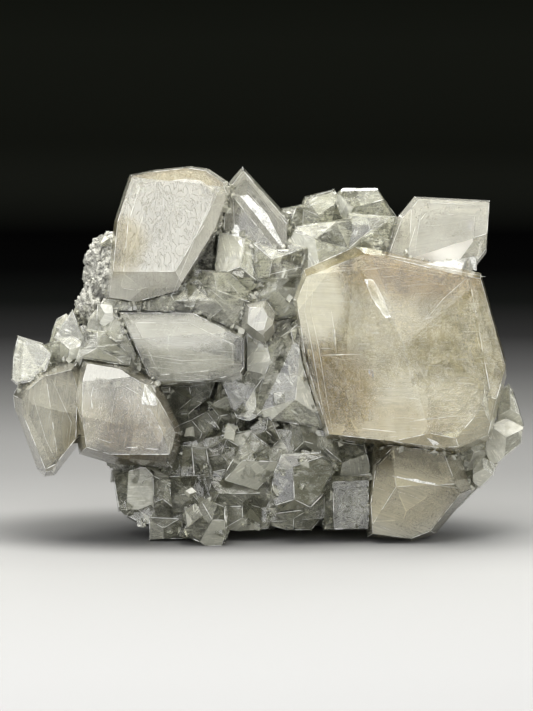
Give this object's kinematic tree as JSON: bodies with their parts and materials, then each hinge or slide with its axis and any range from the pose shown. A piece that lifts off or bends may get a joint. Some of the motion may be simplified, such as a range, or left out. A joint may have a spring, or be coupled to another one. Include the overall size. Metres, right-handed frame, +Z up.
{
  "type": "calcite with marcasite mineral specimen",
  "caption": "Free-standing mineral specimen: blocky, pale honey calcite crystals intergrown over a crust of granular grey marcasite.",
  "frame": {"origin": "centre of the footprint box, on the surface that the specimen stands on", "axes": "+Z up, +X to the right along the display face, +Y going back, away from the display face"},
  "size_m": [0.121, 0.0764, 0.0869],
  "materials": {
    "honey_calcite": "clear to milky calcite with pale amber growth zones, natural faces",
    "pale_calcite": "clear to milky calcite, some faces frosted by growth marks",
    "grey_calcite": "clear small calcite crystals, grey from the marcasite behind them",
    "marcasite": "granular, dull metallic grey crust"
  },
  "bodies": {
    "root": {"big_crystal": "honey_calcite", "lower_right_crystal": "honey_calcite", "lower_left_crystal_pair": "honey_calcite", "upper_left_crystal": "pale_calcite", "upper_right_crystal": "pale_calcite", "middle_crystal": "pale_calcite", "spear_crystal": "pale_calcite", "small_bright_crystal": "pale_calcite", "lower_crystal_crust": "grey_calcite", "centre_crystal_cluster": "grey_calcite", "top_crystal_cluster": "grey_calcite", "left_crystal_cluster": "grey_calcite", "brown_crystal_cluster": "grey_calcite", "right_crystal_cluster": "grey_calcite", "back_upper_left_cluster": "grey_calcite", "back_left_cluster": "grey_calcite", "back_upper_right_cluster": "grey_calcite", "back_right_cluster": "grey_calcite", "back_lower_cluster": "grey_calcite", "marcasite_matrix": "marcasite"}
  },
  "joints": []
}
